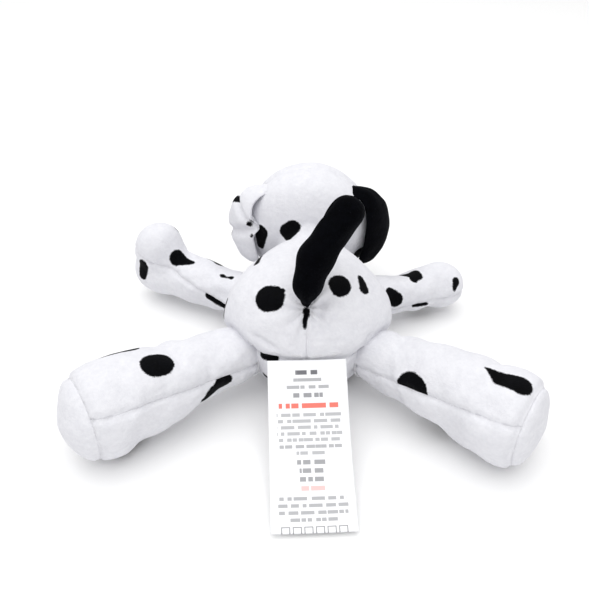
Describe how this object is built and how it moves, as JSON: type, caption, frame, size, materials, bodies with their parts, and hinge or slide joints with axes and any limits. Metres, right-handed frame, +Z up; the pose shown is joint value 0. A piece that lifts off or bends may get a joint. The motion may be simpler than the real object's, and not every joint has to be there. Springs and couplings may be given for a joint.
{
  "type": "plush dog",
  "caption": "Small white plush dog with dark spots, lying on its belly with splayed legs, a dark tail held up and one dark ear; head, ears, legs, tail and label bend at their seams.",
  "frame": {"origin": "middle of the flat belly patch that the toy rests on", "axes": "+Y towards the nose, +X towards the dog's right side, +Z up"},
  "size_m": [0.2212, 0.2097, 0.102],
  "materials": {
    "white_plush": "matte",
    "dark_plush": "matte",
    "polyester_fibre": "matte",
    "white_thread": "matte",
    "dark_thread": "matte",
    "satin_ribbon": "satin",
    "black_gloss": "gloss",
    "washer_plastic": "matte"
  },
  "bodies": {
    "torso": {"back_left_panel": "white_plush", "back_right_panel": "white_plush", "belly_panel": "white_plush", "body_stuffing": "polyester_fibre", "closing_stitches": "white_thread", "label_stitches": "white_thread"},
    "label": {"care_label": "satin_ribbon"},
    "neck_seam": {"neck_seam_thread": "white_thread"},
    "head": {"head_back_left_panel": "white_plush", "head_back_right_panel": "white_plush", "face_panel": "white_plush", "muzzle_panel": "white_plush", "chin_panel": "white_plush", "head_stuffing": "polyester_fibre", "nose": "dark_plush", "left_eye": "black_gloss", "right_eye": "black_gloss", "eye_washers": "washer_plastic", "mouth_stitching": "dark_thread"},
    "left_ear": {"left_ear_outer": "white_plush", "left_ear_inner": "white_plush"},
    "right_ear": {"right_ear_outer": "dark_plush", "right_ear_inner": "dark_plush"},
    "tail_seam": {"tail_seam_thread": "white_thread"},
    "tail": {"tail_front_cover": "dark_plush", "tail_rear_cover": "dark_plush", "tail_stuffing": "polyester_fibre"},
    "left_shoulder_seam": {"left_shoulder_seam_thread": "white_thread"},
    "left_front_leg": {"left_front_top_panel": "white_plush", "left_front_under_panel": "white_plush", "left_front_stuffing": "polyester_fibre"},
    "left_hip_seam": {"left_hip_seam_thread": "white_thread"},
    "left_hind_leg": {"left_hind_top_panel": "white_plush", "left_hind_under_panel": "white_plush", "left_hind_sole": "white_plush", "left_hind_stuffing": "polyester_fibre"},
    "right_shoulder_seam": {"right_shoulder_seam_thread": "white_thread"},
    "right_front_leg": {"right_front_top_panel": "white_plush", "right_front_under_panel": "white_plush", "right_front_stuffing": "polyester_fibre"},
    "right_hip_seam": {"right_hip_seam_thread": "white_thread"},
    "right_hind_leg": {"right_hind_top_panel": "white_plush", "right_hind_under_panel": "white_plush", "right_hind_sole": "white_plush", "right_hind_stuffing": "polyester_fibre"}
  },
  "joints": [
    {"name": "neck_turn", "type": "hinge", "parent": "torso", "child": "neck_seam", "pos_m": [0, 0.045, 0.041], "axis": [0, 0, 1], "range_deg": [-18, 18], "stiffness_Nm_per_rad": 0.25},
    {"name": "neck_nod", "type": "hinge", "parent": "neck_seam", "child": "head", "pos_m": [0, 0.045, 0.041], "axis": [1, 0, 0], "range_deg": [-6, 12], "stiffness_Nm_per_rad": 0.25},
    {"name": "right_ear_flap", "type": "hinge", "parent": "head", "child": "right_ear", "pos_m": [0.0312, 0.07, 0.067], "axis": [-0.4695, -0.8829, 0], "range_deg": [0, 60], "stiffness_Nm_per_rad": 0.004},
    {"name": "left_ear_flap", "type": "hinge", "parent": "head", "child": "left_ear", "pos_m": [-0.0312, 0.07, 0.067], "axis": [-0.4695, 0.8829, 0], "range_deg": [0, 60], "stiffness_Nm_per_rad": 0.004},
    {"name": "tail_raise", "type": "hinge", "parent": "torso", "child": "tail_seam", "pos_m": [0, -0.0174, 0.0576], "axis": [1, 0, 0], "range_deg": [-6, 40], "stiffness_Nm_per_rad": 0.02},
    {"name": "tail_wag", "type": "hinge", "parent": "tail_seam", "child": "tail", "pos_m": [0, -0.0174, 0.0576], "axis": [0, 1, 0], "range_deg": [-40, 12], "stiffness_Nm_per_rad": 0.02},
    {"name": "right_shoulder_swing", "type": "hinge", "parent": "torso", "child": "right_shoulder_seam", "pos_m": [0.032, 0.041, 0.018], "axis": [0, 0, 1], "range_deg": [-22, 15], "stiffness_Nm_per_rad": 0.06},
    {"name": "right_shoulder_lift", "type": "hinge", "parent": "right_shoulder_seam", "child": "right_front_leg", "pos_m": [0.032, 0.041, 0.018], "axis": [0.3714, -0.9285, 0], "range_deg": [-15, 20], "stiffness_Nm_per_rad": 0.06},
    {"name": "right_hip_swing", "type": "hinge", "parent": "torso", "child": "right_hip_seam", "pos_m": [0.0343, -0.0104, 0.021], "axis": [0, 0, 1], "range_deg": [-24, 24], "stiffness_Nm_per_rad": 0.1},
    {"name": "right_hip_lift", "type": "hinge", "parent": "right_hip_seam", "child": "right_hind_leg", "pos_m": [0.0343, -0.0104, 0.021], "axis": [-0.5678, -0.8231, 0], "range_deg": [-15, 20], "stiffness_Nm_per_rad": 0.1},
    {"name": "left_shoulder_swing", "type": "hinge", "parent": "torso", "child": "left_shoulder_seam", "pos_m": [-0.032, 0.041, 0.018], "axis": [0, 0, -1], "range_deg": [-22, 15], "stiffness_Nm_per_rad": 0.06},
    {"name": "left_shoulder_lift", "type": "hinge", "parent": "left_shoulder_seam", "child": "left_front_leg", "pos_m": [-0.032, 0.041, 0.018], "axis": [0.4542, 0.8909, 0], "range_deg": [-15, 20], "stiffness_Nm_per_rad": 0.06},
    {"name": "left_hip_swing", "type": "hinge", "parent": "torso", "child": "left_hip_seam", "pos_m": [-0.0343, -0.0104, 0.021], "axis": [0, 0, -1], "range_deg": [-24, 24], "stiffness_Nm_per_rad": 0.1},
    {"name": "left_hip_lift", "type": "hinge", "parent": "left_hip_seam", "child": "left_hind_leg", "pos_m": [-0.0343, -0.0104, 0.021], "axis": [-0.5678, 0.8231, 0], "range_deg": [-15, 20], "stiffness_Nm_per_rad": 0.1},
    {"name": "label_flap", "type": "hinge", "parent": "torso", "child": "label", "pos_m": [0, -0.0258, 0.034], "axis": [-0.9978, -0.0663, 0], "range_deg": [-15, 75], "stiffness_Nm_per_rad": 0.0006}
  ]
}
